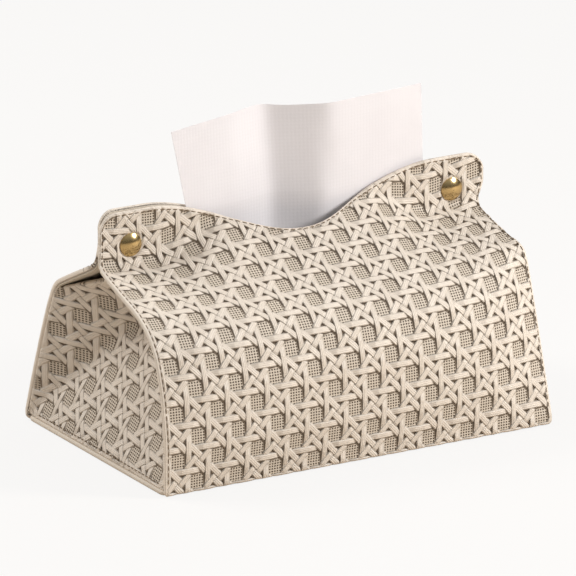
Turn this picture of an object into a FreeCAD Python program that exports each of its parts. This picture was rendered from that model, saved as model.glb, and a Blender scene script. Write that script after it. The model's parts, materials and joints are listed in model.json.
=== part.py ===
import FreeCAD, Part
import math
import os
from collections import namedtuple

Vector = FreeCAD.Vector

# Tissue box cover of embossed leatherette. X runs along the cover, the front is
# toward -Y and Z is up. The origin is the middle of the base, on the table.

# Sheet goods
leather = 1.7                # embossed outer skin
lining = 0.8                 # smooth lining bonded inside it
board = 2.0                  # stiffener in the base
sheet = leather + lining

# Base
length = 210.0               # end to end of the long walls
depth = 134.0                # across the base
corner_radius = 3.0          # of the base in plan
edge_roll = 3.0              # rounding of the bottom edge
tray_clearance = 0.2         # of board and lining inside the rim
rim_height = leather + board + lining

# Shoulder creases, where the long walls end and the flaps begin. The soft cover
# has settled unevenly: its back wall leans in further than the front one.
crease_height = 81.5         # of the front crease
front_crease_offset = 41.5   # from the middle plane
back_crease_offset = 37.5
back_crease_drop = 5.5       # below the front crease
fold_gap = 0.4               # bare crease between a wall and its flap
fold_tilt = math.radians(22)

# How far the long walls bow outside a straight line from rim to crease
front_left_bow = 12.0
front_right_bow = 0.5
front_middle_bow = 16.0
back_end_bow = 1.5
back_middle_bow = 18.4
# Shares of the way up that line, and of the bow there
wall_shape = ((0.0, 0.0), (0.26, 0.6), (0.57, 1.0), (0.8, 1.0), (0.91, 0.68), (1.0, 0.0))
wall_sections = 9

# Flaps: a sloping shoulder that turns up into a wavy collar
front_end_slope = math.radians(18)
front_middle_slope = math.radians(34.5)
back_end_slope = math.radians(27)
back_middle_slope = math.radians(45)
closed_width = 27.0          # at each end, where the collars lie together
mouth_half = 35.0            # from the middle, where the mouth gapes
collar_bend_radius = 9.0     # outer radius where the shoulder turns up
collar_rise = 37.0           # top of the collar above the front crease
wave_depth = 18.5            # lowest point of the wavy edge below the collar's top
ear_width = 27.0             # from the end to the crest of the wave
collar_corner = 13.0
wave_points = 13
flap_sections = 15
trim_allowance = 2.0         # extra sheet that an outline cuts away

# End gussets, tucked inward along a Y of creases
gusset_recess = 0.4          # behind the ends of the long walls
seam_gap = 0.3               # between gusset and wall lining
gusset_corner_drop = 6.0     # top corners of the gusset below the creases
tuck_depth = 21.0
tuck_drop = 15.5             # tuck below the front crease
peak_depth = 16.0
peak_gap = 1.2               # gusset peak below the lining of the shoulders
gusset_steps = 4

# Ring-spring snaps through the collars
snap_inset = 17.9            # from the ends of the cover
snap_drop = 16.0             # below the collar's top
snap_clearance = 0.1
cap_radius = 5.6
cap_rim = 0.6
cap_dome = 1.7
post_radius = 1.5
rivet_radius = 2.0
rivet_height = 0.3
socket_radius = 4.8
socket_height = 2.0
socket_plate = 0.4
stud_radius = 2.05
stud_neck = 1.75
stud_ball = 0.6              # from the tip to the widest part
stud_bevel = 0.2
stud_flange_radius = 4.5
stud_flange = 0.45
snap_face_gap = 0.35         # between the socket's face and the stud's flange
stud_tip_gap = 0.3           # between the stud's tip and the rivet
spring_wire = 0.25           # radius of the wire
spring_lip = 0.3             # of the socket outside the spring ring
spring_opening = 30.0        # degrees left open in the ring
eyelet_radius = 4.5
eyelet_plate = 0.6
eyelet_tube = 1.0

# Tissues
stack_end_gap = 1.0          # beside the tucked gussets
stack_side_room = 17.0       # inside the base on each side
stack_height = 46.0
stack_edge = 4.0
tissue = 0.5
tissue_lift = 0.3            # above the stack
tissue_fold = 5.0            # radius of the soft folds
mouth_drop = 6.5             # middle section of the tissue below the collar's top
tissue_rise = 45.5           # top section above the collar's top
# Folds of the standing tissue, in plan, at the stack, in the mouth and at the top
stack_folds = ((-26, 0), (4, 4), (12, -2), (28, 0))
mouth_folds = ((-34, 0), (6, 7), (16, -3), (34, 0))
top_folds = ((-30, 1), (4, 12), (20, -2), (40, 0))
# Room beside it there, from its left and right edges to the axes of the snaps
stack_room = (40.0, 35.0)
mouth_room = (32.0, 13.0)
top_room = (25.0, 14.0)
# Free edge above the collar's top: left end, crown of its arc, right end
left_edge_rise = 33.2
crown_rise = 36.3
right_edge_rise = 36.8

half_length = length / 2
half_depth = depth / 2
collar_height = crease_height + collar_rise
dip_height = collar_height - wave_depth
snap_height = collar_height - snap_drop
snap_offset = half_length - snap_inset
collar_gap = socket_height + snap_face_gap + stud_flange
collar_inside = collar_gap / 2
collar_outside = collar_inside + sheet
stud_length = collar_gap - socket_plate - rivet_height - stud_tip_gap
spring_height = socket_height - spring_lip - spring_wire
spring_ring = stud_radius + 2 * snap_clearance + spring_wire
ends = (("left", -1), ("right", 1))

# Each long panel is worked out on the front; the back one is then mirrored
Panel = namedtuple("Panel", "crease left_bow middle_bow right_bow end_slope middle_slope")
front_panel = Panel(Vector(0, -front_crease_offset, crease_height), front_left_bow, front_middle_bow,
                    front_right_bow, front_end_slope, front_middle_slope)
back_panel = Panel(Vector(0, -back_crease_offset, crease_height - back_crease_drop), back_end_bow,
                   back_middle_bow, back_end_bow, back_end_slope, back_middle_slope)

# Directions in a shoulder crease: along the shoulder, and down through the sheet
fold_along = Vector(0, math.cos(fold_tilt), math.sin(fold_tilt))
fold_through = Vector(0, math.sin(fold_tilt), -math.cos(fold_tilt))


def mirrored(shape):
    """The same shape on the back of the cover."""
    return shape.mirror(Vector(0, 0, 0), Vector(0, 1, 0))


def edges_of(points, bends):
    """Straight runs through points, with a tangent arc of the given radius at each inner point."""
    edges = []
    start = points[0]
    for before, corner, after, radius in zip(points, points[1:], points[2:], bends):
        arrive = (corner - before).normalize()
        leave = (after - corner).normalize()
        turn = arrive.getAngle(leave)
        reach = radius * math.tan(turn / 2)
        first = corner - arrive * reach
        last = corner + leave * reach
        inward = (leave - arrive).normalize()
        middle = corner + inward * radius * (1 / math.cos(turn / 2) - 1)
        edges.append(Part.LineSegment(start, first).toShape())
        edges.append(Part.Arc(first, middle, last).toShape())
        start = last
    edges.append(Part.LineSegment(start, points[-1]).toShape())
    return edges


def band(outer, inner):
    """Closed wire between two chains of edges that run the same way."""
    first = Part.Wire(outer)
    second = Part.Wire(inner)
    ties = [Part.LineSegment(a.Point, b.Point).toShape()
            for a, b in ((first.OrderedVertexes[0], second.OrderedVertexes[0]),
                         (first.OrderedVertexes[-1], second.OrderedVertexes[-1]))]
    return Part.Wire(outer + [ties[1]] + list(reversed(inner)) + [ties[0]])


def wall_curve(panel, x, inset):
    """Profile of a long wall at x, moved inward by inset, from the rim up to the crease."""
    end_bow = panel.left_bow if x < 0 else panel.right_bow
    bow = panel.middle_bow + (end_bow - panel.middle_bow) * (x / half_length) ** 4
    top = panel.crease - fold_along * (fold_gap / 2)
    foot = Vector(0, -half_depth, rim_height)
    points = [foot + (top - foot) * share - Vector(0, bow * out, 0) for share, out in wall_shape]
    skin = Part.BSplineCurve()
    skin.interpolate(points)
    moved = []
    for point in points:
        along = skin.tangent(skin.parameter(point))[0]
        across = Vector(0, along.z, -along.y)
        way = across
        if point is points[0]:
            way = Vector(0, 1, 0)
        if point is points[-1]:
            way = fold_through
        moved.append(point + way * (inset / way.dot(across)) + Vector(x, 0, 0))
    curve = Part.BSplineCurve()
    curve.interpolate(moved)
    return curve


def wall(panel, outer, inner):
    """Long wall between two depths of the sheet, lofted along the cover."""
    wires = []
    for i in range(wall_sections):
        x = half_length * (2 * i / (wall_sections - 1) - 1)
        wires.append(band([wall_curve(panel, x, outer).toShape()], [wall_curve(panel, x, inner).toShape()]))
    return Part.makeLoft(wires, True)


def point_at_height(curve, height):
    """Point of a rising curve at the given height."""
    low, high = curve.FirstParameter, curve.LastParameter
    for _ in range(40):
        middle = (low + high) / 2
        if curve.value(middle).z < height:
            low = middle
        else:
            high = middle
    return curve.value(low)


def shoulder_slope(panel, x):
    """Slope of the shoulder: gentle where the collars meet, steeper along the mouth."""
    closed_from = half_length - closed_width
    share = min(max((abs(x) - mouth_half) / (closed_from - mouth_half), 0), 1)
    share = share * share * (3 - 2 * share)
    return panel.middle_slope + (panel.end_slope - panel.middle_slope) * share


def flap_edges(panel, x, inset):
    """Profile of a flap at x, moved inward by inset: shoulder, bend and collar."""
    slope = shoulder_slope(panel, x)
    along = Vector(0, math.cos(slope), math.sin(slope))
    drop = fold_through * (inset / math.cos(slope - fold_tilt))
    start = panel.crease + fold_along * (fold_gap / 2) + drop
    run = (inset - collar_outside - start.y) / along.y
    corner = start + along * run
    top = Vector(0, corner.y, collar_height + trim_allowance)
    place = Vector(x, 0, 0)
    return edges_of([start + place, corner + place, top + place], [collar_bend_radius + inset])


def collar_outline():
    """Block with a flap's outline seen from the front: square ends, rounded ears, wavy mouth."""
    corner = collar_height - collar_corner
    ear = half_length - collar_corner
    slant = collar_corner * math.sqrt(0.5)
    crest_place = half_length - ear_width
    wave = []
    for i in range(wave_points):
        turn = math.pi * (2 * i / (wave_points - 1) - 1)
        rise = wave_depth * (1 - math.cos(turn)) / 2
        wave.append(Vector(crest_place * turn / math.pi, 0, dip_height + rise))
    mouth = Part.BSplineCurve()
    mouth.interpolate(wave)
    edges = [mouth.toShape()]
    for _, side in ends:
        crest = Vector(side * crest_place, 0, collar_height)
        above = Vector(side * ear, 0, collar_height)
        round_middle = Vector(side * (ear + slant), 0, corner + slant)
        beside = Vector(side * half_length, 0, corner)
        below = Vector(side * half_length, 0, 0)
        edges.append(Part.LineSegment(crest, above).toShape())
        edges.append(Part.Arc(above, round_middle, beside).toShape())
        edges.append(Part.LineSegment(beside, below).toShape())
    edges.append(Part.LineSegment(Vector(-half_length, 0, 0), Vector(half_length, 0, 0)).toShape())
    face = Part.Face(Part.Wire(Part.__sortEdges__(edges)))
    return face.extrude(Vector(0, -depth, 0))


def drills(radius, start):
    """Round cutters on the axes of both snaps, from start out past the front."""
    first, second = [Part.makeCylinder(radius + snap_clearance, depth,
                                       Vector(side * snap_offset, start, snap_height), Vector(0, -1, 0))
                     for _, side in ends]
    return first.fuse(second)


def flap(panel, outer, inner, post, head):
    """Flap between two depths of the sheet, cut to its outline, with holes for the snaps' posts
    and flats that their heads press into the bend."""
    wires = []
    reach = half_length + trim_allowance
    for i in range(flap_sections):
        x = reach * (2 * i / (flap_sections - 1) - 1)
        wires.append(band(flap_edges(panel, x, outer), flap_edges(panel, x, inner)))
    cloth = Part.makeLoft(wires, True).common(collar_outline())
    return cloth.cut(drills(post, half_depth)).cut(drills(head, -collar_outside))


def base_tray():
    """Outer skin of the base, turned up as a low rim."""
    block = Part.makeBox(length, depth, rim_height, Vector(-half_length, -half_depth, 0))
    upright = [e for e in block.Edges if abs(e.tangentAt(e.FirstParameter).z) > 0.9]
    block = block.makeFillet(corner_radius, upright)
    under = [e for e in block.Edges if e.BoundBox.ZMax < leather]
    block = block.makeFillet(edge_roll, under)
    return block.cut(base_layer(0, leather, rim_height))


def base_layer(clearance, bottom, top):
    """Flat layer inside the rim, between two heights."""
    margin = leather + clearance
    return Part.makeBox(length - 2 * margin, depth - 2 * margin, top - bottom,
                        Vector(margin - half_length, margin - half_depth, bottom))


def shoulder_underside(panel):
    """Height of the lining's underside where the end shoulder would reach the middle plane."""
    rise = -panel.crease.y * math.tan(panel.end_slope)
    return panel.crease.z + rise - sheet / math.cos(panel.end_slope)


def gusset(side, outer, inner):
    """Tucked end between two depths of its sheet: a leaning triangle and two leaves."""
    end = half_length - gusset_recess
    tuck = Vector(side * (end - tuck_depth), 0, crease_height - tuck_drop)
    underside = min(shoulder_underside(front_panel), shoulder_underside(back_panel))
    peak = Vector(side * (end - peak_depth), 0, underside - peak_gap)
    triangles = []
    feet = []
    for panel, way in ((front_panel, 1), (back_panel, -1)):
        curve = wall_curve(panel, side * half_length, sheet + seam_gap)
        top = panel.crease.z - gusset_corner_drop
        edge = []
        for i in range(gusset_steps + 1):
            point = point_at_height(curve, rim_height + (top - rim_height) * i / gusset_steps)
            edge.append(Vector(side * end, way * point.y, point.z))
        edge[0].z = rim_height
        feet.append(edge[0])
        triangles += [(a, b, tuck) for a, b in zip(edge, edge[1:])]
        triangles.append((edge[-1], peak, tuck))
    triangles.append((feet[0], feet[1], tuck))
    solids = []
    for a, b, c in triangles:
        face = Part.Face(Part.makePolygon([a, b, c, a]))
        face.translate(Vector(-side * outer, 0, 0))
        solids.append(face.extrude(Vector(-side * (inner - outer), 0, 0)))
    return solids[0].fuse(solids[1:]).removeSplitter()


def turned(edges, side):
    """Solid turned about the axis of a snap from its half profile, in place on one side."""
    profile = Part.Face(Part.Wire(edges))
    solid = profile.revolve(Vector(0, 0, 0), Vector(0, 1, 0), 360)
    solid.translate(Vector(side * snap_offset, 0, snap_height))
    return solid


def polygon(points):
    """Edges of a closed half profile given as radius and depth."""
    corners = [Vector(r, y, 0) for r, y in points]
    return [Part.LineSegment(a, b).toShape() for a, b in zip(corners, corners[1:] + corners[:1])]


def snap_cap(side):
    """Domed cap on the front collar, with the post that rivets the socket."""
    face = -collar_outside
    crown = face - cap_rim - cap_dome
    ball = (cap_radius ** 2 + cap_dome ** 2) / (2 * cap_dome)
    half_turn = math.asin(cap_radius / ball) / 2
    top = Vector(0, crown, 0)
    middle = Vector(ball * math.sin(half_turn), crown + ball * (1 - math.cos(half_turn)), 0)
    shoulder = Vector(cap_radius, face - cap_rim, 0)
    plate = socket_plate - collar_inside
    rest = [shoulder, Vector(cap_radius, face, 0), Vector(post_radius, face, 0),
            Vector(post_radius, plate, 0), Vector(rivet_radius, plate, 0),
            Vector(rivet_radius, plate + rivet_height, 0), Vector(0, plate + rivet_height, 0), top]
    dome = Part.Arc(top, middle, shoulder).toShape()
    return turned([dome] + [Part.LineSegment(a, b).toShape() for a, b in zip(rest, rest[1:])], side)


def snap_socket(side):
    """Socket inside the front collar, with a groove for its spring ring."""
    back = -collar_inside
    front = back + socket_height
    bore = stud_radius + 3 * snap_clearance
    groove = spring_ring + spring_wire + snap_clearance
    low = back + spring_height - spring_wire - snap_clearance
    high = back + spring_height + spring_wire + snap_clearance
    hole = post_radius + snap_clearance
    return turned(polygon([(hole, back), (socket_radius, back), (socket_radius, front), (bore, front),
                           (bore, high), (groove, high), (groove, low), (bore, low),
                           (bore, back + socket_plate), (hole, back + socket_plate)]), side)


def snap_spring(side):
    """Open ring of wire in the socket's groove."""
    ring = Part.makeTorus(spring_ring, spring_wire, Vector(0, 0, 0), Vector(0, 1, 0),
                          0, 360, 360 - spring_opening)
    ring.translate(Vector(side * snap_offset, spring_height - collar_inside, snap_height))
    return ring


def snap_stud(side):
    """Stud inside the back collar, bored for the eyelet's tube."""
    back = collar_inside
    flange = back - stud_flange
    tip = back - stud_length
    widest = tip + stud_ball
    hole = eyelet_tube + snap_clearance
    return turned(polygon([(hole, back), (stud_flange_radius, back), (stud_flange_radius, flange),
                           (stud_neck, flange), (stud_neck, widest + stud_bevel), (stud_radius, widest),
                           (stud_radius, tip + stud_bevel), (stud_radius - stud_bevel, tip),
                           (hole, tip)]), side)


def snap_eyelet(side):
    """Flat eyelet outside the back collar, with its tube through collar and stud."""
    face = collar_outside
    end = collar_inside - stud_length
    return turned(polygon([(0, face + eyelet_plate), (0, end), (eyelet_tube, end), (eyelet_tube, face),
                           (eyelet_radius, face), (eyelet_radius, face + eyelet_plate)]), side)


def tissue_stack():
    """Interfolded tissues lying on the base lining, between the tucked ends."""
    stack_length = length - 2 * (gusset_recess + tuck_depth + sheet + stack_end_gap)
    stack_depth = depth - 2 * stack_side_room
    block = Part.makeBox(stack_length, stack_depth, stack_height,
                         Vector(-stack_length / 2, -stack_depth / 2, rim_height))
    along = [e for e in block.Edges if abs(e.tangentAt(e.FirstParameter).x) > 0.9]
    return block.makeFillet(stack_edge, [e for e in along if e.BoundBox.ZMin > rim_height + stack_edge])


def tissue_row(folds, room, height):
    """Section of the standing tissue at one level, a band with soft folds."""
    plan = [(room[0] - snap_offset, folds[0][1]), *folds, (snap_offset - room[1], folds[-1][1])]
    front = [Vector(x, y - tissue / 2, height) for x, y in plan]
    back = [Vector(x, y + tissue / 2, height) for x, y in plan]
    bends = [tissue_fold] * (len(plan) - 2)
    return band(edges_of(front, bends), edges_of(back, bends))


def tissue_sheet():
    """Tissue that stands out of the mouth, pinched where it passes the collars."""
    rows = [tissue_row(stack_folds, stack_room, rim_height + stack_height + tissue_lift),
            tissue_row(mouth_folds, mouth_room, collar_height - mouth_drop),
            tissue_row(top_folds, top_room, collar_height + tissue_rise)]
    cloth = Part.makeLoft(rows, True, True)
    left = Vector(top_room[0] - snap_offset, -half_depth, collar_height + left_edge_rise)
    crown = Vector(0, -half_depth, collar_height + crown_rise)
    right = Vector(snap_offset - top_room[1], -half_depth, collar_height + right_edge_rise)
    beside = Vector(trim_allowance, 0, 0)
    above = Vector(0, 0, tissue_rise)
    corners = [right, right + beside, right + beside + above, left - beside + above, left - beside, left]
    sides = [Part.LineSegment(a, b).toShape() for a, b in zip(corners, corners[1:])]
    lid = Part.Wire([Part.Arc(left, crown, right).toShape()] + sides)
    return cloth.cut(Part.Face(lid).extrude(Vector(0, depth, 0)))


def build():
    os.makedirs("parts", exist_ok=True)
    parts = {}
    parts["base_skin"] = base_tray()
    parts["base_board"] = base_layer(tray_clearance, leather, leather + board)
    parts["base_lining"] = base_layer(tray_clearance, leather + board, rim_height)
    for layer, outer, inner in (("skin", 0, leather), ("lining", leather, sheet)):
        parts["front_wall_" + layer] = wall(front_panel, outer, inner)
        parts["back_wall_" + layer] = mirrored(wall(back_panel, outer, inner))
        parts["front_flap_" + layer] = flap(front_panel, outer, inner, post_radius, cap_radius)
        parts["back_flap_" + layer] = mirrored(flap(back_panel, outer, inner, eyelet_tube, eyelet_radius))
        for name, side in ends:
            parts["%s_gusset_%s" % (name, layer)] = gusset(side, outer, inner)
    for name, side in ends:
        parts[name + "_snap_cap"] = snap_cap(side)
        parts[name + "_snap_socket"] = snap_socket(side)
        parts[name + "_snap_spring"] = snap_spring(side)
        parts[name + "_snap_stud"] = snap_stud(side)
        parts[name + "_snap_eyelet"] = snap_eyelet(side)
    parts["tissue_stack"] = tissue_stack()
    parts["tissue_sheet"] = tissue_sheet()
    for name, shape in parts.items():
        shape.exportStep("parts/%s.step" % name)
        print(name, len(shape.Solids), shape.isValid(), round(shape.Volume, 1))


build()
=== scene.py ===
import json
import math
import bpy
import numpy as np
from mathutils import Matrix, Vector
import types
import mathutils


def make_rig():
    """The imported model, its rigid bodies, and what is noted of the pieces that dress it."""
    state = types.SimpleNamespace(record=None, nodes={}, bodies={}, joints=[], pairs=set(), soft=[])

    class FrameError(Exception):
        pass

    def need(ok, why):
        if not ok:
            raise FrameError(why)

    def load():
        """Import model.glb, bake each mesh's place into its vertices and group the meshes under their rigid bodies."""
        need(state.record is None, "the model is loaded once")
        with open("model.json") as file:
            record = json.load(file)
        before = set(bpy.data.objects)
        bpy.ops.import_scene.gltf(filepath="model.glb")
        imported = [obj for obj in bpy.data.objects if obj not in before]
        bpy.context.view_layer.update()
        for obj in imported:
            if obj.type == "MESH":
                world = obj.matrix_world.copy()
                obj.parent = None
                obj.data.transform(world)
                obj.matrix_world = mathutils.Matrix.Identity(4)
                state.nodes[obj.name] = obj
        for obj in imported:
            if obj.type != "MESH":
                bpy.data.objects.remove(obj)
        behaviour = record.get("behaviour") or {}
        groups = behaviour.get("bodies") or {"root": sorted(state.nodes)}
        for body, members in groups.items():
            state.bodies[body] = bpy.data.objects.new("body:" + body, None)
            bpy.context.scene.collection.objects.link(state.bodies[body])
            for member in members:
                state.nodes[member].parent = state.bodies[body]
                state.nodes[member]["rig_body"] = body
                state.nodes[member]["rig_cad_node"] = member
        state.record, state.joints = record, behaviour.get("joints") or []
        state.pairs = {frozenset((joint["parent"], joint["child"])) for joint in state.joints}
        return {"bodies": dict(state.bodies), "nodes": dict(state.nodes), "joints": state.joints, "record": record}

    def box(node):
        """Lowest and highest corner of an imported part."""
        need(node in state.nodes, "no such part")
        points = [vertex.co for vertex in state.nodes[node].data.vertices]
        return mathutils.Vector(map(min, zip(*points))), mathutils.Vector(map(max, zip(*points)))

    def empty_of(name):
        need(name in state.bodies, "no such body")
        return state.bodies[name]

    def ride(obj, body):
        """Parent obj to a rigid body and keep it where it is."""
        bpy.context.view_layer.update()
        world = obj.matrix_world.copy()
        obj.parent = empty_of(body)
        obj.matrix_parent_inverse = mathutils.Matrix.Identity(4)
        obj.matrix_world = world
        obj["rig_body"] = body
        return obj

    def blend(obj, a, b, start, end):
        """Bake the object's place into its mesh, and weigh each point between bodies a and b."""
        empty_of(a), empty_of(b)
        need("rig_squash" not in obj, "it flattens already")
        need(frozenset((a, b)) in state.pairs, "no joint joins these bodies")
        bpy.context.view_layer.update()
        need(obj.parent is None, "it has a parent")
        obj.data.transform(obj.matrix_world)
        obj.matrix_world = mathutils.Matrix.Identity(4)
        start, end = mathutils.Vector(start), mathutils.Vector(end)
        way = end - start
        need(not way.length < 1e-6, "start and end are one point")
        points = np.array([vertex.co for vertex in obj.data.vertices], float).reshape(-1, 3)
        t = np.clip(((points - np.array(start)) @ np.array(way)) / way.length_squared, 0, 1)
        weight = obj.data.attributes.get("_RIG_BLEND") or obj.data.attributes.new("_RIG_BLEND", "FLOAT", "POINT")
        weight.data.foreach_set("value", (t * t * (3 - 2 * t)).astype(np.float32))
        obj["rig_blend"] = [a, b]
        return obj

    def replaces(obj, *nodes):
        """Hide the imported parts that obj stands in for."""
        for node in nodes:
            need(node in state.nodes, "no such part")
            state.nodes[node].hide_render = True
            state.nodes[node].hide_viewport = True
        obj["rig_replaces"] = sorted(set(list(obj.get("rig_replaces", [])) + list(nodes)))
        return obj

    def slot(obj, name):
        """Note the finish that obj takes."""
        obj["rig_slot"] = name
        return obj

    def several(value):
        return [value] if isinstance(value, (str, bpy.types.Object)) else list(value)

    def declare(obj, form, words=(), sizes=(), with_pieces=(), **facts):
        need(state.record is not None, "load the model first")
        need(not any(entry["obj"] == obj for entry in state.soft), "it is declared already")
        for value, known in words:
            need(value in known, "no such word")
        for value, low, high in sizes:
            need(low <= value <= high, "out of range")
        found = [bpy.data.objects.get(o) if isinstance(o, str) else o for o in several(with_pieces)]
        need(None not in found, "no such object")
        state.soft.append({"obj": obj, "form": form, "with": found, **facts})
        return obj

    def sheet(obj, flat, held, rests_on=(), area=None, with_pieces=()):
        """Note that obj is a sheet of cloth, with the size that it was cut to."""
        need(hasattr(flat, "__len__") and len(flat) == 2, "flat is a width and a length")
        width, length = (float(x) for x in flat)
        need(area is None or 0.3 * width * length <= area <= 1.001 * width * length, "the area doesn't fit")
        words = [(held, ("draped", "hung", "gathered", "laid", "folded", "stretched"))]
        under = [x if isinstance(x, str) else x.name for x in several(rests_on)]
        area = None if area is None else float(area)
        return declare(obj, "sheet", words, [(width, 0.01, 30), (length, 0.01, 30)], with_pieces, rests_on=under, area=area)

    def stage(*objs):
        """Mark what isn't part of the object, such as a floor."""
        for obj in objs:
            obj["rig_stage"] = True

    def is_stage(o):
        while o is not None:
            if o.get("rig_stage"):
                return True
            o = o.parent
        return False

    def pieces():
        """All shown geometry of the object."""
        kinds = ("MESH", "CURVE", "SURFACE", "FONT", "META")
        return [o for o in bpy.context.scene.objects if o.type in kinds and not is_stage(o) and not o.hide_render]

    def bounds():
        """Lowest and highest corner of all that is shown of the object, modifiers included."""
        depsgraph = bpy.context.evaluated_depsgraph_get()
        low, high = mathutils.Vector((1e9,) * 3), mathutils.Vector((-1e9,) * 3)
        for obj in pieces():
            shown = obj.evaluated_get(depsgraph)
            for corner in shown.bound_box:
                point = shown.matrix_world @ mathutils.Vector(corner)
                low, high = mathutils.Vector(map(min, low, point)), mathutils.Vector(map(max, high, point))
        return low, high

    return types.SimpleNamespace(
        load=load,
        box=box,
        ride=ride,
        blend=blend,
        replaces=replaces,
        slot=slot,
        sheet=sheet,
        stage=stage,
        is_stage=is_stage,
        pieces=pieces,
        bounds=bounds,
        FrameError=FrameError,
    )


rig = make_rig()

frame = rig.load()
cad_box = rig.bounds()


# The base is a flat tray of smooth leatherette with a seat for the board cut in its top. Its cut
# edge shows as a pale rounded band below each tucked end; the long walls are turned under its
# other two sides.
MM = 0.001
half_length, half_depth, rim_height = np.array(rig.box("base_skin")[1]) / MM
leather_thickness = 1.7
base_gap = 0.3
base_band = 2.3
base_corner = 4.2
base_edge_round = 1.05
seat_gap = 0.1


def srgb(red, green, blue):
    """A colour written as it looks on a screen, as the shader takes it."""
    shares = [value / 255 for value in (red, green, blue)]
    linear = [((share + 0.055) / 1.055) ** 2.4 if share > 0.04 else share / 12.92
              for share in shares]
    return (*linear, 1.0)


class Wire:
    """One socket of a material. Operators on it add Math nodes."""

    def __init__(self, socket):
        self.socket = socket

    def node(self, kind, settings=None, sockets=None, output=0):
        """Adds a node of any kind: its settings first, then the values or wires of its sockets."""
        tree = self.socket.id_data
        made = tree.nodes.new(kind)
        for name, value in (settings or {}).items():
            setattr(made, name, value)
        for name, value in (sockets or {}).items():
            if isinstance(value, Wire):
                tree.links.new(value.socket, made.inputs[name])
            else:
                made.inputs[name].default_value = value
        return Wire(made.outputs[output])

    def maths(self, operation, *values):
        return self.node("ShaderNodeMath", {"operation": operation}, dict(enumerate(values)))

    def __add__(self, other):
        return self.maths("ADD", self, other)

    __radd__ = __add__

    def __sub__(self, other):
        return self.maths("SUBTRACT", self, other)

    def __rsub__(self, other):
        return self.maths("SUBTRACT", other, self)

    def __mul__(self, other):
        return self.maths("MULTIPLY", self, other)

    __rmul__ = __mul__

    def floor(self):
        return self.maths("FLOOR", self)

    def sin(self):
        return self.maths("SINE", self)

    def cos(self):
        return self.maths("COSINE", self)

    def abs(self):
        return self.maths("ABSOLUTE", self)

    def maximum(self, other):
        return self.maths("MAXIMUM", self, other)

    def minimum(self, other):
        return self.maths("MINIMUM", self, other)

    def clipped(self):
        """The value kept between 0 and 1."""
        return self.maximum(0).minimum(1)

    def part(self, name):
        """One of a vector's three values."""
        return self.node("ShaderNodeSeparateXYZ", sockets={0: self}, output=name)

    def noise(self, scale, detail):
        return self.node("ShaderNodeTexNoise",
                         sockets={"Vector": self, "Scale": scale, "Detail": detail})

    def mixed(self, first, second):
        """A colour between two, by this share."""
        return self.node("ShaderNodeMix", {"data_type": "RGBA"}, {0: self, 6: first, 7: second},
                         output=2)

    def bump(self, strength, distance):
        return self.node("ShaderNodeBump",
                         sockets={"Strength": strength, "Distance": distance, "Height": self})

    def feed(self, shader, name):
        self.socket.id_data.links.new(self.socket, shader.inputs[name])


def new_finish(name, roughness, metallic=0.0):
    """A material, its shader and a wire of the place on the object."""
    material = bpy.data.materials.new(name)
    material.use_nodes = True
    tree = material.node_tree
    shader = tree.nodes["Principled BSDF"]
    shader.inputs["Roughness"].default_value = roughness
    shader.inputs["Metallic"].default_value = metallic
    return material, shader, Wire(tree.nodes.new("ShaderNodeTexCoord").outputs["Object"])


def smooth_leather(name, light, dark):
    """Plain leatherette with a fine pebbled grain and a slightly uneven tone."""
    tone_scale, sheen_scale, grain_scale = 60, 900, 1600
    material, shader, place = new_finish(name, 0.55)
    place.noise(tone_scale, 3).mixed(dark, light).feed(shader, "Base Color")
    (0.46 + 0.2 * place.noise(sheen_scale, 2)).feed(shader, "Roughness")
    place.noise(grain_scale, 3).bump(0.25, 0.0003).feed(shader, "Normal")
    return material


def block(name, low, high):
    """A box between two corners, in millimetres."""
    low, high = np.array(low) * MM, np.array(high) * MM
    bpy.ops.object.select_all(action="DESELECT")
    bpy.ops.mesh.primitive_cube_add(size=1, location=(low + high) / 2, scale=high - low)
    bpy.ops.object.transform_apply(location=True, rotation=True, scale=True)
    piece = bpy.context.object
    piece.name = name
    return piece


def round_uprights(piece, radius):
    """Bevels the four upright edges of a box."""
    least_rise, most_lean = 0.5 * MM, 0.01 * MM
    bpy.ops.object.mode_set(mode="EDIT")
    bpy.ops.mesh.select_mode(type="EDGE")
    bpy.ops.mesh.select_all(action="DESELECT")
    bpy.ops.object.mode_set(mode="OBJECT")
    places = piece.data.vertices
    for edge in piece.data.edges:
        first, second = (places[index].co for index in edge.vertices)
        upright = (first.xy - second.xy).length < most_lean
        edge.select = upright and abs(first.z - second.z) > least_rise
    bpy.ops.object.mode_set(mode="EDIT")
    bpy.ops.mesh.bevel(offset=radius * MM, segments=6)
    bpy.ops.object.mode_set(mode="OBJECT")


def round_edges(piece, radius, segments=4):
    """Rounds all sharp edges with an applied bevel."""
    sharp = math.radians(40)
    bevel = piece.modifiers.new("round", "BEVEL")
    bevel.width = radius * MM
    bevel.segments = segments
    bevel.limit_method = "ANGLE"
    bevel.angle_limit = sharp
    bpy.context.view_layer.objects.active = piece
    bpy.ops.object.modifier_apply(modifier=bevel.name)
    bpy.ops.object.shade_smooth_by_angle(angle=sharp)


def paint(piece, material):
    """Gives a piece this material and no other."""
    piece.data.materials.clear()
    piece.data.materials.append(material)


def dress(piece, material, body, slot):
    """Gives a piece its material and slot, and the body that it rides on."""
    paint(piece, material)
    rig.slot(piece, slot)
    if body:
        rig.ride(piece, body)


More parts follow.
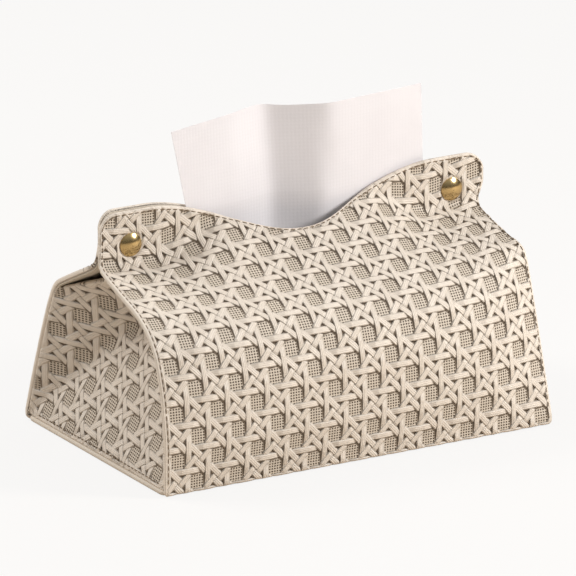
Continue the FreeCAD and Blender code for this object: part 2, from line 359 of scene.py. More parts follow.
pale_leather = smooth_leather("pale edge leather", srgb(226, 214, 198), srgb(208, 194, 176))
base_side = half_depth - leather_thickness - base_gap
base = block("base_cover", (-half_length, -base_side, 0), (half_length, base_side, base_band))
round_uprights(base, base_corner)
round_edges(base, base_edge_round)
board_low, board_high = (np.array(corner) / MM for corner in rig.box("base_board"))
board_seat = block("board_seat", (board_low[0] - seat_gap, -half_depth, board_low[2]),
                   (board_high[0] + seat_gap, half_depth, base_band + 1))
seat_cut = base.modifiers.new("board seat", "BOOLEAN")
seat_cut.operation = "DIFFERENCE"
seat_cut.object = board_seat
bpy.context.view_layer.objects.active = base
bpy.ops.object.modifier_apply(modifier=seat_cut.name)
bpy.data.objects.remove(board_seat)
dress(base, pale_leather, "cover", "embossed_leatherette")
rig.replaces(base, "base_skin")


# The board that stiffens the base is plain greyboard, cut to lie inside the tray. It keeps its
# modelled shape, and only its cut edge could be seen with the lining lifted.
greyboard, board_shader, board_place = new_finish("greyboard", 0.85)
board_tone = board_place.noise(500, 4).mixed(srgb(140, 128, 112), srgb(172, 160, 142))
board_tone.feed(board_shader, "Base Color")
board_place.noise(1400, 2).bump(0.3, 0.0003).feed(board_shader, "Normal")
paint(frame["nodes"]["base_board"], greyboard)


# The floor of the inside is a sheet of smooth lining glued down on the board, its edge
# a little rounded where it meets the walls.
floor_corner, floor_edge_round = 4, 0.3
lining_leather = smooth_leather("smooth lining", srgb(216, 204, 187), srgb(202, 189, 171))
lining_low, lining_high = (np.array(corner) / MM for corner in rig.box("base_lining"))
floor_lining = block("base_floor_lining", lining_low, lining_high)
round_uprights(floor_lining, floor_corner)
round_edges(floor_lining, floor_edge_round, 2)
dress(floor_lining, lining_leather, "cover", "smooth_lining")
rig.replaces(floor_lining, "base_lining")


# Front and back: each one long sheet of embossed leatherette, from the fold under the base up the
# bowed wall, over the soft shoulder and up the snapped collar with its wavy edge. The emboss
# copies cane webbing: level and upright strips, pairs of slanting strands and netted eyes.
joints = {joint["name"]: joint for joint in frame["record"]["behaviour"]["joints"]}
snap_low, snap_high = (np.array(corner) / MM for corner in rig.box("right_snap_cap"))
snap_x, snap_z = (snap_low[0] + snap_high[0]) / 2, (snap_low[2] + snap_high[2]) / 2
snap_radius = (snap_high[0] - snap_low[0]) / 2
snap_flat = 4
collar_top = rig.box("front_flap_skin")[1][2] / MM
collar_face = 3.9
collar_dip = 18.5
collar_spare = 30
ear_width = 27
ear_corner = 10
ear_draw_start, ear_draw_end = 4, -14
waist_low, waist_high = (-3, 8), (24, 10)
fold_radius = 2.8
foot_corner = 5.0
mouth_half = 35
end_gap = 0.3
wall_bulge = ((0, 0.26, 0.57, 0.8, 0.91, 1), (0, 0.6, 1, 1, 0.68, 0))
wall_points, lead_steps = 40, 6
shoulder_softness, shoulder_reach = 3.2, 12
step = 0.5


def crease(joint):
    """How far out a flap's fold lies, and its height."""
    place = joints[joint]["pos_m"]
    return abs(place[1]) / MM, place[2] / MM


front = dict(side=-1, crease=crease("front_flap_fold"), left_bow=12, middle_bow=16, right_bow=0.5,
             end_slope=18, middle_slope=34.5, ear_draw=1.6, ear_drop=0, waist=3.6)
back = dict(side=1, crease=crease("back_flap_fold"), left_bow=1.5, middle_bow=18.4, right_bow=1.5,
            end_slope=27, middle_slope=45, ear_draw=4.8, ear_drop=3.4, waist=0)


def eased(value, low, high):
    """Goes smoothly from 0 at low to 1 at high."""
    share = np.clip((value - low) / (high - low), 0, 1)
    return share * share * (3 - 2 * share)


def reach_along(path):
    """Length along a path at each of its points."""
    return np.concatenate([[0], np.cumsum(np.linalg.norm(np.diff(path, axis=0), axis=1))])


def read_at(marks, reach, values):
    """What goes with the points of a path, at marks along its length."""
    return np.stack([np.interp(marks, reach, column) for column in values.T], axis=1)


def evenly(path, spacing):
    """Points along a path, evenly spaced."""
    reach = reach_along(path)
    return read_at(np.arange(0, reach[-1], spacing), reach, path)


def blurred(path, spread):
    """A path with its corners rounded by a bell curve, taken at the places in spread."""
    weights = np.exp(-0.5 * spread ** 2)
    weights /= weights.sum()
    return np.stack([np.convolve(column, weights, "valid") for column in path.T], axis=1)


def collar_edge(x):
    """Height of the wavy edge above the base at a place along the cover."""
    crest = half_length - ear_width
    wave = collar_top - collar_dip * (1 + np.cos(math.pi * np.clip(x / crest, -1, 1))) / 2
    past = np.clip(np.abs(x) - (half_length - ear_corner), 0, ear_corner)
    return wave - ear_corner + np.sqrt(ear_corner ** 2 - past ** 2)


def panel_profile(panel, x):
    """The outer face at one place along the cover, as depths and heights from the bottom up."""
    offset, height = panel["crease"]
    end_bow = panel["left_bow"] if x < 0 else panel["right_bow"]
    bow = panel["middle_bow"] + (end_bow - panel["middle_bow"]) * (x / half_length) ** 4
    share = np.linspace(0, 1, wall_points)
    bulge = bow * np.interp(share, *wall_bulge)
    wall = np.stack([half_depth + (offset - half_depth) * share + bulge,
                     rim_height + (height - rim_height) * share], axis=1)
    slope = panel["middle_slope"] + (panel["end_slope"] - panel["middle_slope"]) * eased(
        abs(x), mouth_half, half_length - ear_width)
    bend = (collar_face, height + (offset - collar_face) * math.tan(math.radians(slope)))
    lead = wall[0] - (wall[1] - wall[0]) * lead_steps
    path = evenly(np.vstack([lead, wall, bend, (collar_face, collar_top + collar_spare)]), step)
    soft = blurred(path, np.arange(-shoulder_reach, shoulder_reach + 0.1, step) / shoulder_softness)
    soft = soft[soft[:, 1] > rim_height]
    turn = np.linspace(-math.pi / 2, 0, 9)
    fold = np.stack([half_depth - fold_radius + fold_radius * np.cos(turn),
                     fold_radius + fold_radius * np.sin(turn)], axis=1)
    return evenly(np.vstack([fold, soft]), step)


def place_panel(panel, columns, rows):
    """Places of a grid on the outer face, with each point's length up the sheet."""
    places = np.zeros((len(rows), len(columns), 3))
    lengths = np.zeros((len(rows), len(columns)))
    fold = panel["crease"][1]
    for index, x in enumerate(columns):
        depths, heights = panel_profile(panel, x).T
        reach = np.arange(len(heights)) * step
        drop = panel["ear_drop"] * eased(x, mouth_half, half_length - ear_width)
        top = np.interp(collar_edge(x) - drop, heights, reach)
        past = np.clip(abs(x) - (half_length - foot_corner), 0, foot_corner)
        bottom = foot_corner - np.sqrt(foot_corner ** 2 - past ** 2)
        lengths[:, index] = bottom + rows * (top - bottom)
        near = eased(np.abs(abs(x) - snap_x), snap_radius + snap_flat, snap_radius)
        near = near * eased(np.abs(heights - snap_z), snap_radius + snap_flat, snap_radius)
        depths = depths + near * (collar_face - depths)
        places[:, index, 1] = panel["side"] * np.interp(lengths[:, index], reach, depths)
        level = np.interp(lengths[:, index], reach, heights)
        places[:, index, 2] = level
        left_draw = panel["ear_draw"] * max(-x / half_length, 0) ** 6 * eased(
            level, fold + ear_draw_start, collar_top + ear_draw_end)
        right_draw = panel["waist"] * max(x / half_length, 0) ** 6 * (
            eased(level, fold + waist_low[0], fold + waist_low[1])
            * eased(level, fold + waist_high[0], fold + waist_high[1]))
        places[:, index, 0] = x + left_draw - right_draw
    return places, lengths


def facing(places):
    """Which way a grid of places faces at each point."""
    along = np.gradient(places, axis=1)
    up = np.gradient(places, axis=0)
    out = np.cross(along, up)
    return out / np.maximum(np.linalg.norm(out, axis=2, keepdims=True), 1e-9)


cane_step = (10.4, 11.2)
cane_start = (-88.0, 7.2)
strip_thickness = 0.42
strip_crown = 0.3
strip_lift, strip_hold = 0.7, 1.5
strand_over, strand_under, strand_hold = 0.35, 1.3, 2.4
level_half, upright_half, strand_half = 0.126, 0.122, 0.128
strand_apart = 0.152
eye_half, eye_corner, eye_wall = 0.385, 0.7, 6
eye_depth, gap_depth = -0.9, -1.7
emboss_share = 0.7


def cane(a, b, ridge, f):
    """Height of the emboss in strip thicknesses at a place of the lattice, and how far that place
    is from the middle of its eye; f is numpy for the mesh and Wire for the shader."""
    row, column = f.floor(b), f.floor(a)

    def strip(across, half, level):
        bend = across * (1 / half)
        square = bend * bend
        crown = (1 - square * square * square) * strip_crown
        return level + crown + f.cos(bend * 3 * math.pi) * ridge

    def held(wave):
        return f.maximum(f.minimum(wave, 1), -1)

    def woven(wave):
        return f.maximum(wave, 0) * strand_over + f.minimum(wave, 0) * strand_under

    level_wave = held(f.cos((a - row - 1.5) * math.pi) * strip_hold)
    upright_wave = held(f.cos((b - column - 0.5) * math.pi) * strip_hold)
    level = strip(b - row - 0.5, level_half, level_wave * strip_lift)
    upright = strip(a - column - 0.5, upright_half, upright_wave * strip_lift)
    u, v = (a + b) * 0.5, (a - b) * 0.5
    falling = (u - f.floor(u) - 0.5) * math.sqrt(2)
    rising = (v - f.floor(v) - 0.5) * math.sqrt(2)
    falling_wave = held(f.sin((a - b) * math.pi) * strand_hold)
    rising_wave = held(f.sin((a + b) * math.pi) * strand_hold)
    strands = [strip(falling - strand_apart, strand_half, woven(falling_wave)),
               strip(falling + strand_apart, strand_half, woven(falling_wave * -1)),
               strip(rising + strand_apart, strand_half, woven(rising_wave)),
               strip(rising - strand_apart, strand_half, woven(rising_wave * -1))]
    from_u, from_v = u - f.floor(u + 0.5), v - f.floor(v + 0.5)
    eye_a, eye_b = from_u + from_v, from_u - from_v
    wide, tall = f.abs(eye_a), f.abs(eye_b)
    eye = f.maximum(f.maximum(wide, tall) * (1 / eye_half), (wide + tall) * (1 / eye_corner))
    wall = f.minimum(f.maximum((eye - 1) * eye_wall, 0), 1)
    height = f.maximum(level, upright)
    for strand in strands:
        height = f.maximum(height, strand)
    ground = wall * (gap_depth - eye_depth) + eye_depth
    return f.maximum(height, ground), eye, eye_a, eye_b


def cane_leather():
    """Beige leatherette with the cane emboss: pale strips that darken and brown the lower the emboss lies,
    partly a brown fill in the grooves and partly painted shade where strips dip under others; a painted
    shadow on each strip's lower-left side, away from a light at the upper right of the lattice; and a
    fine net of small dark holes in each eye. The lattice place comes with the mesh."""
    ridge, painted_shadow_reach, painted_shadow_dark = 0.07, 0.056, 0.85
    holes_across, holes_up = 7.5, 8.5
    material, shader, place = new_finish("cane leatherette", 0.5)
    weave = place.node("ShaderNodeAttribute", {"attribute_name": "weave"}, output="Vector")
    a, b, share = weave.part("X"), weave.part("Y"), weave.part("Z")
    height, eye, eye_a, eye_b = cane(a, b, ridge, Wire)
    hole = (eye_a * (holes_across * 2 * math.pi)).cos() * 0.5 + 0.5
    hole = hole * ((eye_b * (holes_up * 2 * math.pi)).cos() * 0.5 + 0.5)
    hole = ((hole - 0.22) * 3.2).clipped()
    netted = ((-0.7 - height) * 6).clipped() * ((1.12 - eye) * 10).clipped()
    # Painted shadow: a place is darkened where the emboss a little toward the upper right of the lattice stands
    # higher, as if a light there cast the shadow.
    beside, *_ = cane(a + painted_shadow_reach, b + painted_shadow_reach, 0, Wire)
    painted_shadow = ((beside - height - 0.2) * 2).clipped()
    lit = 1 - painted_shadow * painted_shadow_dark
    # Brown fill partly, painted shade partly: the lower the emboss lies, the nearer its colour goes to the brown of
    # the deep gaps, so strip ends dipping under others darken too; the painted shadow darkens it further.
    raised = ((height + 1.3) * 0.9).clipped() * lit
    raised = raised * share + (1 - share)
    tone = place.noise(55, 3)
    strip_colour = tone.mixed(srgb(217, 203, 187), srgb(233, 221, 206))
    fill_and_shade_colour = tone.mixed(srgb(92, 74, 54), srgb(112, 93, 71))
    net_colour = hole.mixed(srgb(212, 198, 180), srgb(88, 71, 52))
    colour = raised.mixed(fill_and_shade_colour, strip_colour)
    (netted * share * lit).mixed(colour, net_colour).feed(shader, "Base Color")
    (0.62 - 0.16 * raised).feed(shader, "Roughness")
    grain = place.noise(1500, 2) * 0.12
    relief = (height - netted * hole * 0.5) * share + grain
    relief.bump(1.0, strip_thickness * 2 * MM).feed(shader, "Normal")
    return material


cane_leatherette = cane_leather()


def grid_piece(name, places):
    """A mesh grid laid on a table of places, in millimetres."""
    rows, columns = places.shape[:2]
    bpy.ops.object.select_all(action="DESELECT")
    bpy.ops.mesh.primitive_grid_add(x_subdivisions=columns - 1, y_subdivisions=rows - 1, size=1,
                                    calc_uvs=False)
    piece = bpy.context.object
    piece.name = name
    piece.data.vertices.foreach_set("co", (places * MM).ravel())
    piece.data.update()
    return piece


def edit_open_edges(piece):
    """Opens a piece for editing, with its open edges picked out."""
    bpy.context.view_layer.objects.active = piece
    bpy.ops.object.mode_set(mode="EDIT")
    bpy.ops.mesh.select_mode(type="EDGE")
    bpy.ops.mesh.select_all(action="DESELECT")
    bpy.ops.mesh.select_non_manifold(extend=False, use_wire=False, use_boundary=True,
                                     use_multi_face=False, use_non_contiguous=False,
                                     use_verts=False)


def grow_edge(piece):
    """Extrudes a piece's open edge; gives the old points and the new point made from each."""
    count = len(piece.data.vertices)
    edit_open_edges(piece)
    bpy.ops.mesh.extrude_edges_move()
    bpy.ops.object.mode_set(mode="OBJECT")
    ends = np.zeros(len(piece.data.edges) * 2, dtype=int)
    piece.data.edges.foreach_get("vertices", ends)
    ends = np.sort(ends.reshape(-1, 2), axis=1)
    return ends[(ends[:, 0] < count) & (ends[:, 1] >= count)].T


def face_outwards(piece):
    """Turns the faces of a closed piece outwards and shades it smooth."""
    bpy.ops.object.select_all(action="DESELECT")
    piece.select_set(True)
    bpy.context.view_layer.objects.active = piece
    bpy.ops.object.mode_set(mode="EDIT")
    bpy.ops.mesh.select_all(action="SELECT")
    bpy.ops.mesh.normals_make_consistent(inside=False)
    bpy.ops.object.mode_set(mode="OBJECT")
    bpy.ops.object.shade_smooth()


def skin(name, places, heights, weave, back_columns, back_rows):
    """A leather sheet: the embossed face, a rounded cut edge and a plainer back."""
    edge_swell, edge_round = 0.35, 0.45
    out = facing(places)
    face = places + out * heights[..., None]
    inner = places - out * leather_thickness
    away = places - np.pad(places[1:-1, 1:-1], ((1, 1), (1, 1), (0, 0)), mode="edge")
    away /= np.maximum(np.linalg.norm(away, axis=2, keepdims=True), 1e-9)
    swollen = places + away * edge_swell
    rings = (swollen - out * edge_round, swollen - out * (leather_thickness - edge_round), inner)
    piece = grid_piece(name, face)
    spots = face.reshape(-1, 3)
    source = np.arange(len(spots))
    for ring in rings:
        old, new = grow_edge(piece)
        source = np.concatenate([source, np.zeros(len(new), dtype=int)])
        source[new] = source[old]
        spots = np.concatenate([spots, np.zeros((len(new), 3))])
        spots[new] = ring.reshape(-1, 3)[source[new]]
    spots[:, 2] = np.maximum(spots[:, 2], 0)
    piece.data.vertices.foreach_set("co", (spots * MM).ravel())
    back_side = grid_piece(name + "_back", inner[np.ix_(back_rows, back_columns)])
    bpy.ops.object.select_all(action="DESELECT")
    back_side.select_set(True)
    piece.select_set(True)
    bpy.context.view_layer.objects.active = piece
    bpy.ops.object.join()
    edit_open_edges(piece)
    bpy.ops.mesh.bridge_edge_loops()
    bpy.ops.object.mode_set(mode="OBJECT")
    face_outwards(piece)
    values = np.zeros((len(piece.data.vertices), 3))
    values[:len(source)] = weave.reshape(-1, 3)[source]
    lattice = piece.data.attributes.new("weave", "FLOAT_VECTOR", "POINT")
    lattice.data.foreach_set("vector", values.ravel())
    return piece


def every(count, gap):
    """Places along a row of points for the plainer back, just inside both ends."""
    return np.unique(np.concatenate([[2], np.arange(gap, count - gap, gap), [count - 3]]))


def spread(reach, spacing, fine):
    """Places from -reach to reach, closer together near both ends."""
    near = reach - np.cumsum(np.geomspace(fine, spacing, 9))[::-1]
    inside = near[0]
    middle = np.linspace(-inside, inside, int(2 * inside / spacing))
    return np.concatenate([[-reach], -near[::-1], middle[1:-1], near, [reach]])


column_step, edge_step = 0.68, 0.06
panel_rows = 236
hem_width, hem_lift, hem_press = 1.3, 0.3, 0.85
snap_press_reach = 20


def leather_panel(name, panel):
    """The whole embossed sheet of one side."""
    columns = spread(half_length - end_gap, column_step, edge_step) * -panel["side"]
    rows = np.linspace(0, 1, panel_rows)
    places, lengths = place_panel(panel, columns, rows)
    a = (places[..., 0] * -panel["side"] - cane_start[0]) / cane_step[0]
    b = (lengths - cane_start[1]) / cane_step[1]
    inside = np.minimum(half_length - np.abs(places[..., 0]), lengths.max(axis=0) - lengths)
    hem = eased(inside, hem_width + 0.7, hem_width - 0.4)
    from_snap = np.hypot(np.abs(places[..., 0]) - snap_x, places[..., 2] - snap_z)
    clear = eased(from_snap, snap_radius - 0.3, snap_radius + 1.6)
    share = (1 - hem_press * hem) * np.where(places[..., 2] > snap_z - snap_press_reach, clear, 1)
    height, *_ = cane(a, b, 0, np)
    heights = (height + 0.2) * strip_thickness * emboss_share * share + hem * hem_lift
    weave = np.stack([a, b, share], axis=2)
    piece = skin(name, places, heights, weave, every(len(columns), 8), every(len(rows), 6))
    dress(piece, cane_leatherette, None, "embossed_leatherette")
    return piece


bend_start, bend_end = (5, -4), (-6, 3)


def fold_ends(panel):
    """Two places on a shoulder, before and past its fold, between which the sheet bends."""
    offset, height = panel["crease"]
    start, end = (np.array((0, panel["side"] * (offset + out), height + up)) * MM
                  for out, up in (bend_start, bend_end))
    return dict(start=tuple(start), end=tuple(end))


front_leather = leather_panel("front_leather", front)
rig.blend(front_leather, "cover", "front_flap", **fold_ends(front))
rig.replaces(front_leather, "front_wall_skin", "front_flap_skin")
back_leather = leather_panel("back_leather", back)
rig.blend(back_leather, "cover", "back_flap", **fold_ends(back))
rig.replaces(back_leather, "back_wall_skin", "back_flap_skin")


# The linings of the front and back: thinner smooth sheets glued inside the embossed ones and
# trimmed just short of their edges, so that the thread catches both.
lining_thickness = 0.8
lining_gap = 0.15
lining_inset = 0.5


def thicken(piece, thickness):
    """Gives a sheet its thickness behind its face."""
    solid = piece.modifiers.new("thickness", "SOLIDIFY")
    solid.thickness = thickness * MM
    solid.offset = -1
    bpy.context.view_layer.objects.active = piece
    bpy.ops.object.modifier_apply(modifier=solid.name)
    bpy.ops.object.shade_smooth_by_angle(angle=math.radians(50))


def lining_sheet(name, places, body):
    """A lining glued behind the outer face that a grid of places describes."""
    piece = grid_piece(name, places - facing(places) * (leather_thickness + lining_gap))
    thicken(piece, lining_thickness)
    dress(piece, lining_leather, body, "smooth_lining")
    return piece


def panel_lining(name, panel):
    """The lining of one long side."""
    columns = np.linspace(-1, 1, 70) * (half_length - end_gap - lining_inset) * -panel["side"]
    places, _ = place_panel(panel, columns, np.linspace(0.03, 0.996, 90))
    return lining_sheet(name, places, None)


front_lining = panel_lining("front_lining", front)
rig.blend(front_lining, "cover", "front_flap", **fold_ends(front))
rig.replaces(front_lining, "front_wall_lining", "front_flap_lining")
back_lining = panel_lining("back_lining", back)
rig.blend(back_lining, "cover", "back_flap", **fold_ends(back))
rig.replaces(back_lining, "back_wall_lining", "back_flap_lining")


# The tucked ends: a sheet of the same embossed leatherette sewn between front and back. It folds
# inwards on a Y of soft creases, with a triangle standing on the base and two leaves above it.
gusset_inset = 0.5
foot_inset, foot_inset_height = 1.0, 9
tuck_depth = 31
tuck_height = 75
gusset_foot = 2.9
peak_height = 92.5
peak_softness = 9
front_corner_drop, back_corner_drop = 3, 3.4
crease_softness = 1.6
gusset_step = (11.65, 10.73)
gusset_lean = (-0.0173, 0.0105)
gusset_start = (1.473, 0.732)
gusset_columns, gusset_rows = 170, 125
gusset_sink = 0.6
gusset_hem, gusset_hem_share = (0.4, 2), 0.3


def gusset_edge(panel, heights, x):
    """How far out the inside of a long wall lies at each height, at one end of the cover."""
    depths, levels = panel_profile(panel, x).T
    inside = np.interp(heights, levels, depths) - leather_thickness - lining_thickness
    return panel["side"] * inside


def soft_minimum(first, second, softness):
    """The lesser of two depths, with the crease between them rounded."""
    gap = np.clip(0.5 + 0.5 * (second - first) / softness, 0, 1)
    return second + (first - second) * gap - softness * gap * (1 - gap)


def place_gusset(end, across, up):
    """Places of a grid on the outer face of one tucked end, running so that it faces outwards."""
    places = np.zeros((len(up), len(across), 3))
    x = end * half_length
    front_top = front["crease"][1] - front_corner_drop
    back_top = back["crease"][1] - back_corner_drop
    rise = front_top + (peak_height - front_top) * across * 2
    fall = back_top + (peak_height - back_top) * (1 - across) * 2
    tops = soft_minimum(rise, fall, peak_softness)
    heights = gusset_foot + up[:, None] * (tops - gusset_foot)[None, :]
    from_front = gusset_edge(front, heights, x)
    from_back = gusset_edge(back, heights, x)
    depth = from_front + (from_back - from_front) * across[None, :]
    reach = -gusset_edge(front, np.array([tuck_height]), x)[0]
    lean = tuck_depth / reach
    triangle = tuck_depth * (heights - gusset_foot) / (tuck_height - gusset_foot)
    leaves = soft_minimum((depth - from_front) * lean, (from_back - depth) * lean, crease_softness)
    tucked = soft_minimum(triangle, leaves, crease_softness)
    foot_share = eased(heights, foot_inset_height, gusset_foot)
    inset = gusset_inset + (foot_inset - gusset_inset) * foot_share
    places[..., 0] = end * (half_length - inset - np.maximum(tucked, 0))
    places[..., 1] = depth
    places[..., 2] = heights
    return places if end > 0 else places[:, ::-1]


def gusset(name, end):
    """The embossed sheet of one tucked end."""
    places = place_gusset(end, np.linspace(0, 1, gusset_columns), np.linspace(0, 1, gusset_rows))
    along, level = places[..., 1] * end, places[..., 2]
    a = along / gusset_step[0] + level * gusset_lean[0] + gusset_start[0]
    b = level / gusset_step[1] + along * gusset_lean[1] + gusset_start[1]
    edge = np.minimum(np.abs(along - along[:, :1]), np.abs(along - along[:, -1:]))
    clear = eased(np.minimum(edge, level - gusset_foot), *gusset_hem)
    share = gusset_hem_share + (1 - gusset_hem_share) * clear
    height, *_ = cane(a, b, 0, np)
    heights = (height - gusset_sink) * strip_thickness * emboss_share * share
    weave = np.stack([a, b, share], axis=2)
    piece = skin(name, places, heights, weave, every(gusset_columns, 7), every(gusset_rows, 6))
    dress(piece, cane_leatherette, "cover", "embossed_leatherette")
    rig.replaces(piece, name + "_skin")


def gusset_lining(name, end):
    """The lining of one tucked end."""
    places = place_gusset(end, np.linspace(0.012, 0.988, 60), np.linspace(0.03, 0.992, 50))
    return lining_sheet(name, places, "cover")


for end, side_name in ((-1, "left"), (1, "right")):
    gusset(side_name + "_gusset", end)
    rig.replaces(gusset_lining(side_name + "_end_lining", end), side_name + "_gusset_lining")


# The seams: a row of short stitches of sewing thread just inside the edges of the front and
# back, through leather and lining, and one along the foot of each tucked end into the base. The
# thread's own brown is darkened by painted shade, standing in for the shade between stitches.
stitch_pitch, stitch_length, stitch_width = 3.4, 2.5, 0.55
seam_inset = 1.15
seam_points = 260
collar_seam_rows = np.array((0.987, 0.993, 0.999))
foot_seam_rows = np.array((0.012, 0.02, 0.028))
foot_seam_lift = 0.1
thread, thread_shader, thread_place = new_finish("sewing thread", 0.7)
# Painted shade: the thread's brown is made darker than its own, for the shade between stitches.
thread_brown_and_shade = thread_place.noise(700, 2).mixed(srgb(98, 78, 56), srgb(132, 110, 84))
thread_brown_and_shade.feed(thread_shader, "Base Color")
(thread_place.part("Z") * 9000).sin().bump(0.3, 0.0002).feed(thread_shader, "Normal")
bpy.ops.object.select_all(action="DESELECT")
bpy.ops.mesh.primitive_uv_sphere_add(segments=8, ring_count=6, radius=0.5)
stitch_form = bpy.context.object
stitch_spots = np.array([vertex.co[:] for vertex in stitch_form.data.vertices])[:, [2, 1, 0]]
stitch_faces = [tuple(face.vertices)[::-1] for face in stitch_form.data.polygons]
bpy.data.objects.remove(stitch_form)
stitch_spots[:, 0] = np.sign(stitch_spots[:, 0]) * np.abs(stitch_spots[:, 0] * 2) ** 0.6 / 2


def stitch_row(name, path, out, lift):
    """Stitches along a path on a surface that faces out."""
    reach = reach_along(path)
    marks = np.arange(stitch_pitch, reach[-1] - stitch_pitch, stitch_pitch)
    middle, up = read_at(marks, reach, path), read_at(marks, reach, out)
    along = read_at(marks + 0.4, reach, path) - read_at(marks - 0.4, reach, path)
    along /= np.linalg.norm(along, axis=1, keepdims=True)
    beside = np.cross(up, along)
    spots = (middle[:, None] + up[:, None] * lift
             + along[:, None] * stitch_spots[None, :, :1] * stitch_length
             + beside[:, None] * stitch_spots[None, :, 1:2] * stitch_width
             + up[:, None] * stitch_spots[None, :, 2:] * stitch_width).reshape(-1, 3)
    count = len(stitch_spots)
    faces = [tuple(index + row * count for index in face)
             for row in range(len(marks)) for face in stitch_faces]
    mesh = bpy.data.meshes.new(name)
    mesh.from_pydata(spots * MM, [], faces)
    piece = bpy.data.objects.new(name, mesh)
    bpy.context.collection.objects.link(piece)
    face_outwards(piece)
    return piece


def panel_seam(panel):
    """The seam's path up one end, along the collar and down the other end, and where it faces."""
    end = half_length - end_gap - seam_inset
    rise = np.linspace(0.03, 0.988, seam_points)
    paths, outs = [], []
    for x, order in ((-end, slice(None)), (end, slice(None, None, -1))):
        strip_places, _ = place_panel(panel, np.array((x - 0.4, x, x + 0.4)), rise)
        paths.append(strip_places[order, 1])
        outs.append(facing(strip_places)[order, 1] * -panel["side"])
    collar_columns = np.linspace(-end + 1, end - 1, seam_points)
    collar_places, _ = place_panel(panel, collar_columns, collar_seam_rows)
    collar_out = facing(collar_places)[1] * -panel["side"]
    return (np.vstack([paths[0], collar_places[1], paths[1]]),
            np.vstack([outs[0], collar_out, outs[1]]))


for panel, side_name in ((front, "front"), (back, "back")):
    seam = stitch_row(side_name + "_seam", *panel_seam(panel), hem_lift)
    dress(seam, thread, None, "smooth_lining")
    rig.blend(seam, "cover", side_name + "_flap", **fold_ends(panel))
# Both foot seams are sewn from the front to the back.
for end, side_name in ((-1, "left"), (1, "right")):
    foot_places = place_gusset(end, np.linspace(0.03, 0.97, 200), foot_seam_rows)[:, ::end]
    foot_out = facing(foot_places)[1] * end
    seam = stitch_row(side_name + "_foot_seam", foot_places[1], foot_out, foot_seam_lift)
    dress(seam, thread, "cover", "smooth_lining")


# Two press snaps hold the collars together: a domed cap and spring socket through the front one,
# a stud and eyelet through the back one, all pressed from plated brass and polished. The spring
# rings are bent from steel wire.
gold, gold_shader, gold_place = new_finish("polished gold plate", 0.14, 1.0)
gold_tone = gold_place.noise(300, 3).mixed(srgb(186, 158, 108), srgb(206, 180, 130))
gold_tone.feed(gold_shader, "Base Color")
(0.14 + 0.12 * gold_place.noise(900, 3)).feed(gold_shader, "Roughness")
wire_steel, steel_shader, steel_place = new_finish("drawn spring wire", 0.3, 1.0)
steel_tone = steel_place.noise(800, 3).mixed(srgb(150, 150, 150), srgb(190, 190, 190))
steel_tone.feed(steel_shader, "Base Color")
for side_name in ("left", "right"):
    for part_name in ("cap", "socket", "stud", "eyelet", "spring"):
        paint(frame["nodes"][f"{side_name}_snap_{part_name}"],
              wire_steel if part_name == "spring" else gold)


# The refill is a folded pack of paper tissues: leaves folded over each other, so that its long
# sides show rounded folds and its ends the cut edges. The soft white paper carries a faint
# embossed net of diamonds.
stack_low, stack_high = (np.array(corner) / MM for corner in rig.box("tissue_stack"))
leaf_thickness, leaf_shift = 2.0, 0.6
diamond_pitch, diamond_height = 3.4, 0.16
tissue_paper, paper_shader, paper_place = new_finish("tissue paper", 0.9)
paper_tone = paper_place.noise(35, 3).mixed(srgb(228, 223, 224), srgb(239, 235, 236))
paper_tone.feed(paper_shader, "Base Color")
fibre = paper_place.noise(1100, 3) * 0.4
paper_x, paper_z = paper_place.part("X"), paper_place.part("Z")
diamond_turn = 2 * math.pi / (diamond_pitch * MM)
diamonds = ((paper_x + paper_z) * diamond_turn).cos() * ((paper_x - paper_z) * diamond_turn).cos()
(fibre + diamonds * diamond_height).bump(0.25, 0.0003).feed(paper_shader, "Normal")
paper_shader.inputs["Subsurface Weight"].default_value = 0.15
paper_shader.inputs["Subsurface Radius"].default_value = (0.004, 0.004, 0.004)
pack = block("tissue_pack", stack_low, (*stack_high[:2], stack_low[2] + leaf_thickness))
round_edges(pack, leaf_thickness * 0.42, 3)
leaves = [pack]
shifts = np.random.default_rng(4)
for index in range(1, int((stack_high[2] - stack_low[2]) / leaf_thickness)):
    leaf = pack.copy()
    leaf.data = pack.data.copy()
    bpy.context.collection.objects.link(leaf)
    shift_x, shift_y = shifts.uniform(-leaf_shift, leaf_shift, 2)
    move = np.array((shift_x, shift_y, index * leaf_thickness)) * MM
    leaf.data.transform(Matrix.Translation(move))
    leaves.append(leaf)
bpy.ops.object.select_all(action="DESELECT")
for leaf in leaves:
    leaf.select_set(True)
bpy.context.view_layer.objects.active = pack
bpy.ops.object.join()
dress(pack, tissue_paper, "cover", "tissue_paper")
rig.replaces(pack, "tissue_stack")


# The next tissue stands out of the mouth: one thin sheet pulled up from the fold of the pack,
# pinched by the collars into a soft hollow and a fold beside it, and opening out above them.
tissue_thickness = 0.25
sheet_foot = stack_high[2] + 0.8
mouth_level = 0.59
sheet_folds = (((-46, 0), (-14, 2), (0, 4), (12, -2), (52, 0)),
               ((-54, 0.6), (-24, 3), (-5, 7.5), (18, -2.4), (74, 0.4)),
               ((-62, 1.5), (-28, 6), (-7, 11.5), (21, -2), (73, 0.8)))
sheet_tops = ((-62, -12, 0, 21, 73), (151.7, 155.4, 153.7, 154.2, 155.6))
fold_samples, fold_window = 600, 34
top_window = 10


def softened(line, window):
    """Rounds the corners of a line of points, over a window of points to each side."""
    padded = np.pad(line, ((window, window), (0, 0)), mode="reflect", reflect_type="odd")
    return blurred(padded, np.linspace(-2.5, 2.5, 2 * window + 1))


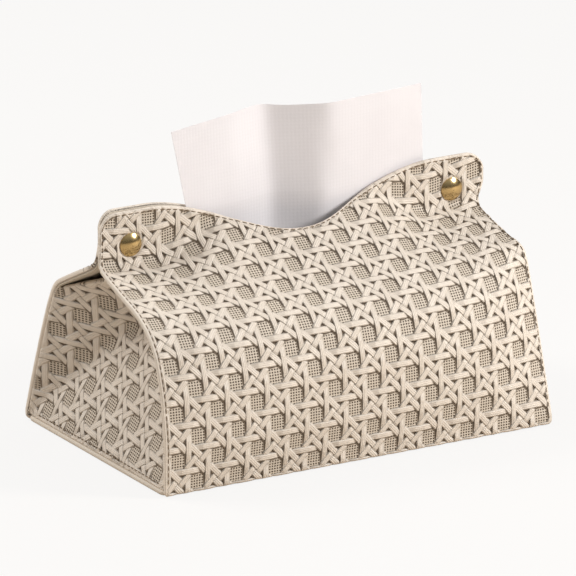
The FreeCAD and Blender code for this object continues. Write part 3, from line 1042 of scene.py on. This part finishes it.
across = np.linspace(0, 1, 150)
up = np.linspace(0, 1, 110)
fine = np.linspace(0, 1, fold_samples)
level_lines = []
for folds in sheet_folds:
    points = np.array(folds, dtype=float)
    reach = reach_along(points)
    line = softened(read_at(fine, reach / reach[-1], points), fold_window)
    level_lines.append(read_at(across, fine, line))
low_line, mid_line, top_line = level_lines
tops = softened(np.interp(top_line[:, :1], *sheet_tops), top_window)[:, 0]
sheet_places = np.zeros((len(up), len(across), 3))
for index, share in enumerate(up):
    if share < mouth_level:
        line = low_line + (mid_line - low_line) * eased(share, 0, mouth_level)
    else:
        line = mid_line + (top_line - mid_line) * (share - mouth_level) / (1 - mouth_level)
    sheet_places[index, :, :2] = line
    sheet_places[index, :, 2] = sheet_foot + (tops - sheet_foot) * share
tissue = grid_piece("standing_tissue", sheet_places)
thicken(tissue, tissue_thickness)
dress(tissue, tissue_paper, "tissue", "tissue_paper")
along_sheet = np.linalg.norm(np.diff(sheet_places, axis=1), axis=2).sum(axis=1).mean() * MM
up_sheet = np.linalg.norm(np.diff(sheet_places, axis=0), axis=2).sum(axis=0).mean() * MM
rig.sheet(tissue, flat=(round(along_sheet, 3), round(up_sheet, 3)), held="gathered",
         rests_on=["tissue_pack"])
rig.replaces(tissue, "tissue_sheet")


# A floor that looks plain white and throws warm light back, under soft studio light: a key lamp
# from the front right, a weaker and larger fill from behind on the left, and a pale world that
# is lighter overhead.
bpy.ops.object.select_all(action="DESELECT")
bpy.ops.mesh.primitive_plane_add(size=12, location=(0, 0, -0.0004))
floor = bpy.context.object
floor.name = "floor"
floor_white, floor_shader, _ = new_finish("white floor", 0.8)
floor_tree = floor_white.node_tree
floor_shader.inputs["Base Color"].default_value = (0.66, 0.58, 0.49, 1)
seen = Wire(floor_tree.nodes.new("ShaderNodeLightPath").outputs["Is Camera Ray"])
glow = seen.node("ShaderNodeEmission", sockets={"Color": (1, 1, 1, 1), "Strength": 1.0})
shaded = Wire(floor_shader.outputs["BSDF"])
floor_mix = seen.node("ShaderNodeMixShader", sockets={0: seen * 0.85, 1: shaded, 2: glow})
floor_mix.feed(floor_tree.nodes["Material Output"], "Surface")
floor.data.materials.append(floor_white)
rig.stage(floor)

world = bpy.data.worlds.new("studio")
bpy.context.scene.world = world
world.use_nodes = True
world_tree = world.node_tree
rays = world_tree.nodes.new("ShaderNodeLightPath").outputs
direct = Wire(rays["Is Camera Ray"]).maximum(Wire(rays["Is Transmission Ray"]))
sky_place = Wire(world_tree.nodes.new("ShaderNodeTexCoord").outputs["Generated"])
overhead = sky_place.part("Z").maximum(0) * 0.67 + 0.08
direct.maximum(overhead).feed(world_tree.nodes["Background"], "Strength")
world_tree.nodes["Background"].inputs["Color"].default_value = (1, 1, 1, 1)


def lamp(name, place, size, power):
    """A square soft lamp turned towards the object."""
    light = bpy.data.lights.new(name, "AREA")
    light.size = size
    light.energy = power
    holder = bpy.data.objects.new(name, light)
    bpy.context.collection.objects.link(holder)
    holder.location = place
    aim = Vector((0, 0, 0.06)) - holder.location
    holder.rotation_euler = aim.to_track_quat("-Z", "Y").to_euler()


lamp("key", (0.85, -0.8, 0.68), 0.26, 14)
lamp("fill", (-0.8, 0.7, 1.1), 0.6, 11)

bpy.context.scene.view_settings.view_transform = "Standard"
view_turn, view_rise, view_distance = math.radians(-30.38), math.radians(17.73), 4.0
view_target = np.array((-0.16, 0, 66.22)) * MM
towards = np.array((math.sin(view_turn) * math.cos(view_rise),
                    -math.cos(view_turn) * math.cos(view_rise), math.sin(view_rise)))
camera_data = bpy.data.cameras.new("photo view")
camera_data.lens = 531.7
camera_data.sensor_width = 36
camera_data.clip_end = 50
camera = bpy.data.objects.new("photo view", camera_data)
bpy.context.collection.objects.link(camera)
camera.location = view_target + towards * view_distance
camera.rotation_euler = Vector(-towards).to_track_quat("-Z", "Y").to_euler()
bpy.context.scene.camera = camera

visual_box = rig.bounds()
with open("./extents.json", "w") as size_file:
    json.dump({"cad": [list(corner) for corner in cad_box],
               "visual": [list(corner) for corner in visual_box]}, size_file)
